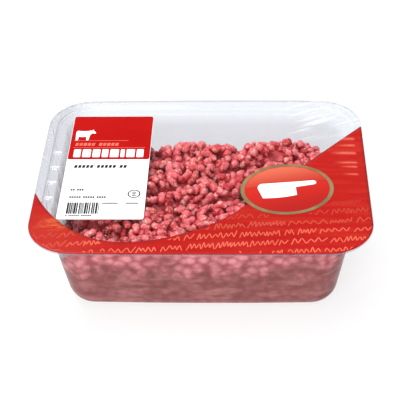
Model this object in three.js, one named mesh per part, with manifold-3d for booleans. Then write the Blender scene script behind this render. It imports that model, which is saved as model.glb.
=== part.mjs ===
// A sealed pack of minced meat: a clear thermoformed tray with a broad sealing flange, the mince
// that fills it, and a lid film on the flange that carries a red print field, a badge and a label.
// Millimetres, +Z up, origin at the middle of the base, long sides along X, front towards -Y.

import * as THREE from 'three';
import { mergeVertices } from 'three/addons/utils/BufferGeometryUtils.js';
import Module from 'manifold-3d';

const wasm = await Module();
wasm.setup();

// Driving dimensions

const flange = { length: 190, depth: 144, corner: 25, bow: 1.3, height: 58, sheet: 0.8 };
const rim = { width: 5, step: 2.4, run: 1.2 };
const ledge = { edge: 10.4, fall: 0.4 };
const wall = { topInset: 12, topZ: 51, midInset: 13.8, midZ: 38, footInset: 17.7, corner: 15.5 };
const foot = { radius: 8.7 };
const rib = { count: 4, pitch: 14, crest: 1.1, base: 2.3, reach: 1.7, lift: 1.3 };
const traySteps = { corner: 8, longSide: 4, fillet: 3, ribs: true };
const foodSteps = { corner: 5, longSide: 4, fillet: 3, ribs: false };

const film = { thick: 0.4, inset: 0.25 };
const ink = { thick: 0.1, gap: 0.3 };
const label = { left: -79.9, right: -31.3, front: -43.2, back: 54, corner: 1.6, thick: 0.15, split: 10.9 };
const badge = { x: 48.5, y: -16.5, halfLength: 26.5, halfWidth: 22.5, rim: 2.2, turn: 0.16 };

const mince = {
  gap: 0.3,
  frontDepth: 3.2,
  crestDepth: 8,
  rearFall: 25,
  leftFall: 27,
  rightFall: 15,
  shoulder: { fall: 7, from: 8, to: 34 },
  notch: { x: 20, width: 5, deep: 6.5 },
  strand: 3.6,
  shortest: 7,
  longest: 13,
  pitch: 2.9,
  lying: 820,
  looseEvery: 23,
};

const topZ = flange.height + film.thick;
const halfX = flange.length / 2;
const halfY = flange.depth / 2 - flange.bow;

// Helpers for closed shapes

// Seeded random numbers, the same on each run.
function makeRandom(seed) {
  let state = seed >>> 0;
  return () => {
    state = (state + 0x6d2b79f5) >>> 0;
    let mixed = Math.imul(state ^ (state >>> 15), 1 | state);
    mixed = (mixed + Math.imul(mixed ^ (mixed >>> 7), 61 | mixed)) ^ mixed;
    return ((mixed ^ (mixed >>> 14)) >>> 0) / 4294967296;
  };
}

function smoothStep(low, high, value) {
  const t = Math.min(1, Math.max(0, (value - low) / (high - low)));
  return t * t * (3 - 2 * t);
}

// Skin from ring to ring, closed with a fan at both ends. Rings run anticlockwise seen from above.
function loft(rings) {
  const count = rings[0].length;
  const positions = rings.flat().flatMap((p) => [p.x, p.y, p.z]);
  const index = [];
  for (let ring = 0; ring < rings.length - 1; ring += 1) {
    for (let k = 0; k < count; k += 1) {
      const a = ring * count + k;
      const b = ring * count + ((k + 1) % count);
      index.push(a, b, b + count, a, b + count, a + count);
    }
  }
  [rings[0], rings[rings.length - 1]].forEach((ring, end) => {
    const centre = positions.length / 3;
    const middle = ring.reduce((sum, p) => sum.add(p), new THREE.Vector3()).divideScalar(count);
    positions.push(middle.x, middle.y, ring[0].z);
    const start = end === 0 ? 0 : (rings.length - 1) * count;
    for (let k = 0; k < count; k += 1) {
      const a = start + k;
      const b = start + ((k + 1) % count);
      index.push(centre, ...(end === 0 ? [b, a] : [a, b]));
    }
  });
  const geometry = new THREE.BufferGeometry();
  geometry.setAttribute('position', new THREE.Float32BufferAttribute(positions, 3));
  geometry.setIndex(index);
  return geometry;
}

function toSolid(geometry) {
  const bare = geometry.clone();
  bare.deleteAttribute('normal');
  bare.deleteAttribute('uv');
  const merged = mergeVertices(bare, 1e-4);
  return new wasm.Manifold(new wasm.Mesh({
    numProp: 3,
    vertProperties: Float32Array.from(merged.attributes.position.array),
    triVerts: Uint32Array.from(merged.index.array),
  }));
}

function toGeometry(solid) {
  const mesh = solid.getMesh();
  const geometry = new THREE.BufferGeometry();
  geometry.setAttribute('position', new THREE.BufferAttribute(mesh.vertProperties, 3));
  geometry.setIndex(new THREE.BufferAttribute(mesh.triVerts, 1));
  geometry.computeVertexNormals();
  return geometry;
}

// Keeps the main body of a join: loose scraps fall away and hollows sealed inside are filled.
function mainBody(solid) {
  return solid.decompose().sort((a, b) => b.volume() - a.volume())[0];
}

function plate(shape, thick, z, curveSegments = 10) {
  const geometry = new THREE.ExtrudeGeometry(shape, { depth: thick, bevelEnabled: false, curveSegments });
  return geometry.translate(0, 0, z);
}

function roundedRectangle(left, front, right, back, radius) {
  const shape = new THREE.Shape();
  shape.moveTo(left + radius, front);
  shape.absarc(right - radius, front + radius, radius, -Math.PI / 2, 0);
  shape.absarc(right - radius, back - radius, radius, 0, Math.PI / 2);
  shape.absarc(left + radius, back - radius, radius, Math.PI / 2, Math.PI);
  shape.absarc(left + radius, front + radius, radius, Math.PI, 1.5 * Math.PI);
  return shape;
}

function ellipse(x, y, halfLength, halfWidth, turn) {
  const shape = new THREE.Shape();
  shape.absellipse(x, y, halfLength, halfWidth, 0, 2 * Math.PI, false, turn);
  return shape;
}

// The tray's plan: corners keep the flange's centre until they reach the body's own radius.

function cornerRadius(inset) {
  const past = Math.max(0, inset - wall.footInset);
  return Math.max(flange.corner - inset, wall.corner) - past;
}

// One closed outline at an inset from the flange's edge. Each rib pushes its own points of the
// short sides inwards by ribIn and up by ribUp.
function outline(inset, z, ribIn = 0, ribUp = 0, steps = traySteps) {
  const x0 = halfX - inset;
  const y0 = halfY - inset;
  const radius = cornerRadius(inset);
  const points = [];
  const bowed = (x, y) => y * (1 + (flange.bow / y0) * Math.max(0, 1 - (x / x0) ** 2));
  const corner = (sideX, sideY, from) => {
    for (let k = 0; k <= steps.corner; k += 1) {
      const angle = from + (k / steps.corner) * (Math.PI / 2);
      const x = sideX * (x0 - radius) + radius * Math.cos(angle);
      const y = sideY * (y0 - radius) + radius * Math.sin(angle);
      points.push(new THREE.Vector3(x, bowed(x, y), z));
    }
  };
  const shortSide = (sideX) => {
    for (let k = 0; steps.ribs && k < rib.count; k += 1) {
      const centre = (k - (rib.count - 1) / 2) * rib.pitch;
      [[-rib.base, 0], [-rib.crest, 1], [rib.crest, 1], [rib.base, 0]].forEach(([offset, up]) => {
        const y = sideX * (centre + offset);
        points.push(new THREE.Vector3(sideX * (x0 - up * ribIn), y, z + up * ribUp));
      });
    }
  };
  const longSide = (sideY) => {
    for (let k = 1; k < steps.longSide; k += 1) {
      const x = sideY * (x0 - radius) * (1 - (2 * k) / steps.longSide);
      points.push(new THREE.Vector3(x, bowed(x, sideY * y0), z));
    }
  };
  shortSide(1);
  corner(1, 1, 0);
  longSide(1);
  corner(-1, 1, Math.PI / 2);
  shortSide(-1);
  corner(-1, -1, Math.PI);
  longSide(-1);
  corner(1, -1, 1.5 * Math.PI);
  return points;
}

// The inner face from the sealing edge down to the base, moved by `out` along the face's normal.
function innerFace(out) {
  const rimZ = flange.height;
  const lean = Math.atan2(wall.footInset - wall.topInset, wall.topZ - foot.radius);
  const wallShift = out / Math.cos(lean);
  const stepEnd = rim.width + rim.run;
  const ledgeZ = rimZ - rim.step;
  const rings = [
    outline(rim.width - out, rimZ - out),
    outline(stepEnd - out, ledgeZ - out, 0, rib.lift * 0.2),
    outline(ledge.edge - out * 0.5, ledgeZ - ledge.fall - out, rib.reach * 0.5, rib.lift),
    outline(ledge.edge + 1 - out, ledgeZ - ledge.fall - 1 - out * 0.5, rib.reach, rib.lift * 0.6),
    outline(wall.topInset - wallShift, wall.topZ, rib.reach, 0),
    outline(wall.midInset - wallShift, wall.midZ, rib.reach * 0.35, 0),
  ];
  const centreInset = wall.footInset + foot.radius;
  const radius = foot.radius + out;
  for (let k = 0; k <= traySteps.fillet; k += 1) {
    const angle = (k / traySteps.fillet) * (Math.PI / 2);
    const z = foot.radius + flange.sheet - radius * Math.sin(angle);
    rings.push(outline(centreInset - radius * Math.cos(angle), z));
  }
  return rings;
}

function trayGeometry() {
  const sheet = flange.sheet;
  const outside = [outline(0, flange.height - sheet), ...innerFace(sheet)].reverse();
  const inside = [outline(0, flange.height), ...innerFace(0)];
  return loft([...outside, ...inside]);
}

// The space inside the tray that food can fill: clear of its walls and ribs, and of the film.
function cavitySolid() {
  const { gap } = mince;
  const ring = (inset, z) => outline(inset + gap, z, 0, 0, foodSteps);
  const ledgeZ = flange.height - rim.step + gap;
  const radius = foot.radius - gap;
  const centreInset = wall.footInset + foot.radius - gap;
  const rings = [];
  for (let k = foodSteps.fillet; k >= 0; k -= 1) {
    const angle = (k / foodSteps.fillet) * (Math.PI / 2);
    const z = foot.radius + flange.sheet - radius * Math.sin(angle);
    rings.push(ring(centreInset - radius * Math.cos(angle), z));
  }
  rings.push(
    ring(wall.midInset + rib.reach * 0.35, wall.midZ),
    ring(wall.topInset + rib.reach, wall.topZ),
    ring(wall.topInset + rib.reach, ledgeZ + rib.lift),
    ring(rim.width + rim.run + rib.reach, ledgeZ + rib.lift + gap),
    ring(rim.width + rim.run + rib.reach, flange.height - gap),
  );
  return toSolid(loft(rings));
}

// The lid film, cut flush with the flange.
function filmGeometry(z, thick, inset) {
  return loft([outline(inset, z), outline(inset, z + thick)]);
}

// Mince: an uneven heap, high at the front where it meets the film and falling to the far walls

// Furrows between folds of mince: a line y = at + slope x, how wide and deep, and where it fades.
const furrows = [
  { at: 2, slope: 0.56, width: 3.4, deep: 5.5, from: -34, to: 44 },
  { at: -22, slope: 0.2, width: 3.2, deep: 5, from: -46, to: 34 },
  { at: 26, slope: -0.12, width: 3, deep: 2.6, from: -30, to: 18 },
  { at: -66, slope: -0.38, width: 4, deep: 5, from: -66, to: -42 },
];

function minceHeight(x, y) {
  let depth = mince.frontDepth + (mince.crestDepth - mince.frontDepth) * smoothStep(-22, 24, y);
  depth += mince.rearFall * smoothStep(34, 60, y) ** 1.2;
  depth += mince.leftFall * smoothStep(60, 84, -x);
  depth += mince.rightFall * smoothStep(62, 84, x);
  const { shoulder, notch } = mince;
  depth += shoulder.fall * smoothStep(shoulder.from, shoulder.to, -x) * smoothStep(12, 30, y);
  depth += notch.deep * Math.exp(-(((x - notch.x) / notch.width) ** 2)) * smoothStep(22, 32, y);
  furrows.forEach(({ at, slope, width, deep, from, to }) => {
    const across = (y - at - slope * x) / width;
    const along = smoothStep(from - 8, from + 4, x) * (1 - smoothStep(to - 4, to + 8, x));
    depth += deep * along * Math.exp(-across * across);
  });
  depth += 0.9 * Math.sin(x / 6.1 + 0.7) * Math.sin(y / 5.3 + x / 19) + 0.7 * Math.sin(x / 11 - y / 7.7);
  return flange.height - depth;
}

// Strands that lie in the heap's top: where each starts and ends, and how high it lies.
function lyingStrands() {
  const draw = makeRandom(11);
  const strands = [];
  for (let k = 0; k < mince.lying; k += 1) {
    const start = new THREE.Vector2((2 * draw() - 1) * halfX, (2 * draw() - 1) * halfY);
    const heading = 2 * Math.PI * draw();
    const length = mince.shortest + (mince.longest - mince.shortest) * draw();
    const end = new THREE.Vector2(Math.cos(heading), Math.sin(heading)).multiplyScalar(length).add(start);
    strands.push({ line: new THREE.Line3(flat(start), flat(end)), level: 1.6 * (draw() - 0.5) });
  }
  return strands;
}

function flat(point) {
  return new THREE.Vector3(point.x, point.y, 0);
}

// How far the strands raise the top at a point: each has a round back, and the highest one shows.
function strandRelief(strands, x, y) {
  const radius = mince.strand / 2;
  const here = new THREE.Vector3(x, y, 0);
  const nearest = new THREE.Vector3();
  let relief = -radius;
  strands.forEach(({ line, level }) => {
    const away = line.closestPointToPoint(here, true, nearest).distanceTo(here) / radius;
    if (away < 1) relief = Math.max(relief, level + radius * (Math.sqrt(1 - away * away) - 0.5));
  });
  return relief;
}

// A block whose top is the heap's surface, with the backs of the strands as relief.
function heapBlock() {
  const columns = Math.round((2 * (halfX - ledge.edge)) / mince.pitch);
  const rows = Math.round((2 * (halfY - ledge.edge)) / mince.pitch);
  const strands = lyingStrands();
  const positions = [];
  const index = [];
  const at = (i, j) => j * (columns + 1) + i;
  for (let j = 0; j <= rows; j += 1) {
    for (let i = 0; i <= columns; i += 1) {
      const x = (i - columns / 2) * mince.pitch;
      const y = (j - rows / 2) * mince.pitch;
      positions.push(x, y, minceHeight(x, y) + strandRelief(strands, x, y));
    }
  }
  for (let j = 0; j < rows; j += 1) {
    for (let i = 0; i < columns; i += 1) {
      const corners = [at(i, j), at(i + 1, j), at(i + 1, j + 1), at(i, j + 1)];
      const [a, b, c, d] = (i + j) % 2 ? corners : [...corners.slice(1), corners[0]];
      index.push(a, b, c, a, c, d);
    }
  }
  const border = [];
  for (let i = 0; i < columns; i += 1) border.push(at(i, 0));
  for (let j = 0; j < rows; j += 1) border.push(at(columns, j));
  for (let i = columns; i > 0; i -= 1) border.push(at(i, rows));
  for (let j = rows; j > 0; j -= 1) border.push(at(0, j));
  const lowest = -5;
  const below = positions.length / 3;
  border.forEach((v) => positions.push(positions[3 * v], positions[3 * v + 1], lowest));
  positions.push(0, 0, lowest);
  const centre = positions.length / 3 - 1;
  border.forEach((v, k) => {
    const next = (k + 1) % border.length;
    index.push(v, below + k, below + next, v, below + next, border[next]);
    index.push(centre, below + next, below + k);
  });
  const geometry = new THREE.BufferGeometry();
  geometry.setAttribute('position', new THREE.Float32BufferAttribute(positions, 3));
  geometry.setIndex(index);
  return toSolid(geometry);
}

// One strand that stands out of the heap: a short bent rod with a five-sided section and blunt ends.
function strandSolid(start, heading, bend, length, lift) {
  const steps = 3;
  const sides = 5;
  const radius = mince.strand / 2;
  const rings = [];
  let angle = heading;
  const spot = start.clone();
  for (let k = 0; k <= steps; k += 1) {
    const size = radius * (k === 0 || k === steps ? 0.72 : 1);
    const z = minceHeight(spot.x, spot.y) + lift;
    const ring = [];
    for (let s = 0; s < sides; s += 1) {
      const turn = (s / sides) * 2 * Math.PI;
      const across = size * Math.cos(turn);
      ring.push(new THREE.Vector3(
        spot.x - across * Math.sin(angle),
        spot.y + across * Math.cos(angle),
        z + size * Math.sin(turn),
      ));
    }
    rings.push(ring);
    spot.x += (length / steps) * Math.cos(angle);
    spot.y += (length / steps) * Math.sin(angle);
    angle += bend / steps;
  }
  return rodSolid(rings);
}

// Rings that stand upright along a rod are closed with fans, like a loft laid on its side.
function rodSolid(rings) {
  const sides = rings[0].length;
  const positions = rings.flat().flatMap((p) => [p.x, p.y, p.z]);
  const index = [];
  for (let ring = 0; ring < rings.length - 1; ring += 1) {
    for (let k = 0; k < sides; k += 1) {
      const a = ring * sides + k;
      const b = ring * sides + ((k + 1) % sides);
      index.push(a, b, b + sides, a, b + sides, a + sides);
    }
  }
  const last = (rings.length - 1) * sides;
  for (let k = 1; k < sides - 1; k += 1) {
    index.push(0, k + 1, k, last, last + k, last + k + 1);
  }
  const geometry = new THREE.BufferGeometry();
  geometry.setAttribute('position', new THREE.Float32BufferAttribute(positions, 3));
  geometry.setIndex(index);
  return toSolid(geometry);
}

function minceGeometry() {
  const draw = makeRandom(29);
  const parts = [heapBlock()];
  const reachX = halfX - wall.topInset - mince.longest;
  const reachY = halfY - wall.topInset - mince.longest;
  for (let y = -reachY; y <= reachY; y += mince.looseEvery) {
    for (let x = -reachX; x <= reachX; x += mince.looseEvery) {
      const start = new THREE.Vector3(x + 9 * draw(), y + 9 * draw(), 0);
      const length = mince.shortest + (mince.longest - mince.shortest) * draw();
      parts.push(strandSolid(start, 2 * Math.PI * draw(), 2 * (draw() - 0.5), length, 1.1));
    }
  }
  const heap = wasm.Manifold.union(parts).intersect(cavitySolid()).simplify(0.1);
  return toGeometry(mainBody(heap));
}

// The print on the film

// Red covers the front and the right of the film: a round sweep at the left, then a straight edge.
function redRegion() {
  const shape = new THREE.Shape();
  shape.moveTo(-98, -11);
  shape.bezierCurveTo(-89, -36, -70, -62.5, -40, -62);
  shape.bezierCurveTo(-17, -61.5, 8.5, -48.9, 22.1, -34.2);
  shape.lineTo(98, 47.7);
  shape.lineTo(98, -80);
  shape.lineTo(-98, -80);
  return shape;
}

function redFieldGeometry() {
  const sheet = toSolid(filmGeometry(topZ, ink.thick, film.inset));
  const region = toSolid(plate(redRegion(), 2, topZ - 1, 14));
  const { left, front, right, back, corner } = label;
  const grow = ink.gap;
  const labelHole = roundedRectangle(left - grow, front - grow, right + grow, back + grow, corner + grow);
  const badgeHole = badgeOutline(grow);
  const cut = sheet.intersect(region)
    .subtract(toSolid(plate(labelHole, 2, topZ - 1)))
    .subtract(toSolid(plate(badgeHole, 2, topZ - 1)));
  return toGeometry(mainBody(cut));
}

function badgeOutline(grow) {
  return ellipse(badge.x, badge.y, badge.halfLength + grow, badge.halfWidth + grow, badge.turn);
}

// The badge's light upper part: its face cut along a slanted line above the middle.
function badgeGlowGeometry() {
  const upper = new THREE.Shape();
  upper.moveTo(-40, 1);
  upper.quadraticCurveTo(0, 9, 40, 1);
  upper.lineTo(40, 40);
  upper.lineTo(-40, 40);
  const [halfLength, halfWidth] = [badge.halfLength - rimWidth(), badge.halfWidth - rimWidth()];
  const face = toSolid(plate(ellipse(0, 0, halfLength, halfWidth, 0), 2, 0));
  const sky = toSolid(plate(upper, 2, 0));
  const geometry = toGeometry(face.intersect(sky));
  geometry.scale(1, 1, ink.thick / 2);
  geometry.rotateZ(badge.turn);
  return geometry.translate(badge.x, badge.y, topZ + 2 * ink.thick);
}

function rimWidth() {
  return badge.rim + 0.4;
}

// A plain cleaver: a broad blade with one round corner and a handle.
function cleaverShape() {
  const shape = new THREE.Shape();
  shape.moveTo(-15, -6.5);
  shape.quadraticCurveTo(-4, -8.2, 4.5, -6.5);
  shape.lineTo(5, 0.4);
  shape.lineTo(15.5, 1.2);
  shape.absarc(15.6, 3, 1.8, -Math.PI / 2, Math.PI / 2);
  shape.lineTo(5.4, 5.2);
  shape.lineTo(-13.5, 6.2);
  shape.quadraticCurveTo(-16.5, 5.6, -16.4, 2);
  return shape;
}

// A standing cow seen from its right side, in a box of 11 by 8, in plain strokes.
function cowShape() {
  const shape = new THREE.Shape();
  shape.moveTo(0.6, 0);
  shape.lineTo(1.7, 0);
  shape.lineTo(2.1, 2.7);
  shape.quadraticCurveTo(4, 2, 6, 2.7);
  shape.lineTo(6.3, 0);
  shape.lineTo(7.4, 0);
  shape.lineTo(7.9, 3.4);
  shape.quadraticCurveTo(8.4, 4.6, 9.1, 5);
  shape.lineTo(10.6, 4.8);
  shape.quadraticCurveTo(11.2, 5.1, 10.9, 5.6);
  shape.lineTo(9.7, 6.8);
  shape.lineTo(9.4, 7.7);
  shape.lineTo(8.8, 6.9);
  shape.quadraticCurveTo(7.6, 6.9, 6.6, 6.6);
  shape.quadraticCurveTo(4, 6.3, 1.2, 6.8);
  shape.quadraticCurveTo(0.1, 6.4, 0.3, 4.6);
  return shape;
}

// Plain blocks in a row stand for a headline on the label.
const titleBlocks = {
  start: -76.6,
  front: 12.9,
  back: 20.4,
  gap: 1.1,
  widths: [4.1, 4.9, 4.5, 3.7, 5.1, 2.4, 4.9, 4.1],
};

// The scene

const pack = new THREE.Group();

const colours = {
  clear: new THREE.MeshStandardMaterial({ color: 0xe4e8ee, roughness: 0.12, transparent: true, opacity: 0.3 }),
  meat: new THREE.MeshStandardMaterial({ color: 0xbd5a5c, roughness: 0.4 }),
  red: new THREE.MeshStandardMaterial({ color: 0xd3352b, roughness: 0.25 }),
  labelRed: new THREE.MeshStandardMaterial({ color: 0xd51c17, roughness: 0.35 }),
  white: new THREE.MeshStandardMaterial({ color: 0xfafafa, roughness: 0.4 }),
  gold: new THREE.MeshStandardMaterial({ color: 0x968255, roughness: 0.35 }),
  glow: new THREE.MeshStandardMaterial({ color: 0xeb7659, roughness: 0.3 }),
  grey: new THREE.MeshStandardMaterial({ color: 0x55575a, roughness: 0.4 }),
};

function addPiece(name, geometry, material) {
  const mesh = new THREE.Mesh(geometry, material);
  mesh.name = name;
  pack.add(mesh);
  return mesh;
}

addPiece('tray', trayGeometry(), colours.clear);
addPiece('mince', minceGeometry(), colours.meat);
addPiece('lid_film', filmGeometry(flange.height, film.thick, film.inset), colours.clear);
addPiece('red_field', redFieldGeometry(), colours.red);

const badgeFace = ellipse(
  badge.x, badge.y, badge.halfLength - badge.rim, badge.halfWidth - badge.rim, badge.turn,
);
addPiece('badge_rim', plate(badgeOutline(0), ink.thick, topZ, 22), colours.gold);
addPiece('badge_face', plate(badgeFace, ink.thick, topZ + ink.thick, 22), colours.labelRed);
addPiece('badge_glow', badgeGlowGeometry(), colours.glow);
const cleaver = addPiece('badge_cleaver', plate(cleaverShape(), ink.thick, 0, 6), colours.white);
cleaver.position.set(badge.x, badge.y, topZ + 3 * ink.thick);
cleaver.rotation.z = badge.turn;

const { left, front, right, back, corner, thick, split } = label;
const onLabel = topZ + thick;
addPiece('label', plate(roundedRectangle(left, front, right, back, corner), thick, topZ, 4), colours.white);
const header = roundedRectangle(left + 0.2, split, right - 0.2, back - 0.2, corner - 0.2);
addPiece('label_header', plate(header, ink.thick, onLabel, 4), colours.labelRed);
const cow = addPiece('label_cow', plate(cowShape(), ink.thick, 0, 4), colours.white);
cow.position.set(-77.6, 29.4, onLabel + ink.thick);
cow.scale.set(1.12, 1.42, 1);

let blockLeft = titleBlocks.start;
titleBlocks.widths.forEach((width, k) => {
  const block = roundedRectangle(blockLeft, titleBlocks.front, blockLeft + width, titleBlocks.back, 0.5);
  addPiece(`label_title_${k + 1}`, plate(block, ink.thick, onLabel + ink.thick, 1), colours.white);
  blockLeft += width + titleBlocks.gap;
});
const nameBar = roundedRectangle(-74.2, 4.2, -42.5, 7.4, 0.8);
addPiece('label_name_bar', plate(nameBar, ink.thick, onLabel, 4), colours.grey);

export default pack;
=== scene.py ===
# %% [markdown]
# # A sealed tray of minced meat
# The real pack is a clear tray, drawn from warm plastic sheet, with a broad flange round its rim.
# Mince fills the tray, a printed film is welded on the flange, and a price label sits on the film.
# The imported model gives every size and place, in metres. Each piece here is built around it, so
# nothing has to be fitted by eye afterwards.

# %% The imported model
import math

import bpy
import numpy as np
from mathutils import Matrix, Vector, geometry


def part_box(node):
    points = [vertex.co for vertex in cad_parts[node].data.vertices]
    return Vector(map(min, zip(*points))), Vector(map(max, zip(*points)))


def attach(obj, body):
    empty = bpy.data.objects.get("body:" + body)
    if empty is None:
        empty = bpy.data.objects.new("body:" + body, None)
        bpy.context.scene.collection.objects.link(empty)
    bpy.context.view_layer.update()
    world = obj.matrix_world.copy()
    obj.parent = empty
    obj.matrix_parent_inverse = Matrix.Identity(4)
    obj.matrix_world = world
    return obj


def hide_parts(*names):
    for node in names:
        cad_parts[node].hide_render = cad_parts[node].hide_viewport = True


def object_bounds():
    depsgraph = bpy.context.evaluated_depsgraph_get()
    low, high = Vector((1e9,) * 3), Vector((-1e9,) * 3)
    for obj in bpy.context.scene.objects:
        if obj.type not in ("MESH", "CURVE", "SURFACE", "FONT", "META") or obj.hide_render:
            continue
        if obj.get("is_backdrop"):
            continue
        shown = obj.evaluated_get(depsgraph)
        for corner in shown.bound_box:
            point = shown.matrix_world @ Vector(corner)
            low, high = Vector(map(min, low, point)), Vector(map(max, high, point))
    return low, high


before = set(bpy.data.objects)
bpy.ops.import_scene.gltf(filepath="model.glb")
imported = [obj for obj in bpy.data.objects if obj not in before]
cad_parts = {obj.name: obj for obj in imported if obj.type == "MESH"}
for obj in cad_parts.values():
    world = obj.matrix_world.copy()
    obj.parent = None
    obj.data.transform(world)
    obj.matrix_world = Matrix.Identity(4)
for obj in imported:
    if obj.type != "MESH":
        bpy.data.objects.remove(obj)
cad_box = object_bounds()
mm = 0.001
print("nodes:", ", ".join(sorted(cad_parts)))

# %% [markdown]
# ## Sizes
# The flange's outline and height come from the tray's own box. The rest are the tray's driving
# dimensions: how far each step of the wall stands in from the flange's edge, and at what height.

# %% Sizes of the tray
tray_low, tray_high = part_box("tray")
half_x = (tray_high[0] - tray_low[0]) / 2
bow = 1.3 * mm
half_y = (tray_high[1] - tray_low[1]) / 2 - bow
flange_z = tray_high[2]
flange_corner = 25 * mm
body_corner = 15.5 * mm
foot_inset = 17.7 * mm
foot_radius = 8.7 * mm
sheet = 0.6 * mm
film_z = flange_z + 0.12 * mm
film_sheet = 0.1 * mm
print(f"flange {2 * half_x / mm:.0f} by {2 * (half_y + bow) / mm:.0f} mm at {flange_z / mm:.0f} mm")

# %% [markdown]
# ## Shader maths as plain expressions
# A material is a tree of nodes. Written out link by link, a simple sum takes six lines, so one
# small class wraps a socket and overloads the operators: an expression on wires adds its nodes.
# Colours and vectors need Mix and Vector Math, because a Math node would turn them grey.

# %% Wires and finishes
def operator(operation, swapped=False):
    """The method behind one arithmetic sign; swapped is the form with the wire on the right."""
    def method(self, other):
        first, second = (other, self) if swapped else (self, other)
        kind = "Math" if self.socket.type == "VALUE" else "VectorMath"
        return self.finish.node(kind, {"operation": operation}, {0: first, 1: second})
    return method


class Wire:
    """One output socket of a finish. Arithmetic on wires adds the nodes that it needs."""

    def __init__(self, finish, socket):
        self.finish = finish
        self.socket = socket

    __add__, __radd__ = operator("ADD"), operator("ADD", swapped=True)
    __sub__, __rsub__ = operator("SUBTRACT"), operator("SUBTRACT", swapped=True)
    __mul__, __rmul__ = operator("MULTIPLY"), operator("MULTIPLY", swapped=True)
    __truediv__, __rtruediv__ = operator("DIVIDE"), operator("DIVIDE", swapped=True)
    __pow__, __rpow__ = operator("POWER"), operator("POWER", swapped=True)

    def step(self, low, high):
        """0 below low, 1 above high, and a smooth rise between them."""
        settings = {"interpolation_type": "SMOOTHSTEP"}
        return self.finish.node("MapRange", settings, {0: self, 1: low, 2: high, 3: 0.0, 4: 1.0})


class Finish:
    """A material and the nodes that give it its look."""

    def __init__(self, name):
        self.material = bpy.data.materials.new(name)
        self.material.use_nodes = True
        self.tree = self.material.node_tree
        self.tree.nodes.clear()

    def node(self, kind, settings=None, sockets=None, out=0):
        """Adds a node, sets it up, feeds its sockets with numbers or wires, and returns a wire."""
        made = self.tree.nodes.new("ShaderNode" + kind)
        for key, value in (settings or {}).items():
            setattr(made, key, value)
        for key, value in (sockets or {}).items():
            if isinstance(value, Wire):
                self.tree.links.new(value.socket, made.inputs[key])
            else:
                made.inputs[key].default_value = value
        return Wire(self, made.outputs[out])

    def where(self):
        """The place on the object, in metres."""
        return self.node("TexCoord", out="Object")

    def axis(self, which):
        """One coordinate of the place on the object: 0, 1 or 2 for x, y or z."""
        return self.node("SeparateXYZ", None, {0: self.where()}, out=which)

    def stored(self, name):
        """A number that the mesh holds for each of its points."""
        return self.node("Attribute", {"attribute_name": name}, out=2)

    def noise(self, scale, detail=2.0, rough=0.5, at=None, stretch=(1, 1, 1)):
        """Soft random values round 0.5; scale is the number of lumps in a metre."""
        place = at or self.where()
        if stretch != (1, 1, 1):
            place = place * stretch
        sockets = {"Vector": place, "Scale": scale, "Detail": detail, "Roughness": rough}
        return self.node("TexNoise", None, sockets)

    def blend(self, first, second, factor):
        """Two colours mixed by a wire or a number."""
        return self.node("Mix", {"data_type": "RGBA"}, {0: factor, 6: first, 7: second}, out=2)

    def mix(self, first, second, factor):
        """Two shaders mixed by a wire or a number."""
        return self.node("MixShader", None, {0: factor, 1: first, 2: second})

    def clear(self, tint):
        return self.node("BsdfTransparent", None, {"Color": tint})

    def bump(self, height, distance, strength=1.0):
        return self.node("Bump", None, {"Height": height, "Distance": distance, "Strength": strength})

    def principled(self, **sockets):
        named = {key.replace("_", " "): value for key, value in sockets.items()}
        return self.node("BsdfPrincipled", None, named)

    def show(self, shader):
        end = self.tree.nodes.new("ShaderNodeOutputMaterial")
        self.tree.links.new(shader.socket, end.inputs["Surface"])
        return self.material


def colour(red, green, blue):
    """A display colour from 0 to 255 as the linear colour that a shader takes."""
    shown = (red / 255, green / 255, blue / 255)
    return (*(c / 12.92 if c <= 0.04 else ((c + 0.055) / 1.055) ** 2.4 for c in shown), 1)


print("mid grey in linear light:", round(colour(128, 128, 128)[0], 3))

# %% [markdown]
# ## Meshes from arrays
# Thousands of strands and smooth lofts are quickest as numpy arrays that become one mesh each.
# Every piece rides on the pack's only body and names the finish slot that it belongs to.

# %% Pieces from arrays
def in_scene(name, data):
    """A new object for a mesh, a lamp or a camera."""
    made = bpy.data.objects.new(name, data)
    bpy.context.collection.objects.link(made)
    return made


def piece(name, points, faces, material, instead_of=(), smooth=True):
    """A mesh object from points and faces, placed, finished and riding on the pack."""
    mesh = bpy.data.meshes.new(name)
    mesh.from_pydata(np.asarray(points).tolist(), [], faces)
    mesh.validate()
    mesh.polygons.foreach_set("use_smooth", [smooth] * len(mesh.polygons))
    mesh.materials.append(material)
    mesh.update()
    made = in_scene(name, mesh)
    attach(made, "root")
    if instead_of:
        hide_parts(*instead_of)
    triangles = sum(len(face.vertices) - 2 for face in mesh.polygons)
    print(f"{name}: {len(mesh.vertices)} points, {triangles} triangles")
    return made


def store(made, name, values):
    """Keeps one number for each point of a piece, which its finish can read."""
    kept = made.data.attributes.new(name, "FLOAT", "POINT")
    kept.data.foreach_set("value", np.asarray(values, np.float32))


def smooth_step(low, high, value):
    """0 below low, 1 above high, and a smooth rise between them, for numbers and arrays."""
    t = np.clip((value - low) / (high - low), 0, 1)
    return t * t * (3 - 2 * t)


# %% [markdown]
# ## The tray's plan
# Every level of the tray has the same kind of outline: a rectangle with round corners whose long
# sides bow out a little. The corners keep the flange's centre until they reach the body's radius.

# %% Outlines and the distance to them
def corner_radius(inset):
    past = np.maximum(0, inset - foot_inset)
    return np.maximum(flange_corner - inset, body_corner) - past


side_steps, front_steps, corner_steps = 64, 24, 20
tiny = 1e-9


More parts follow.
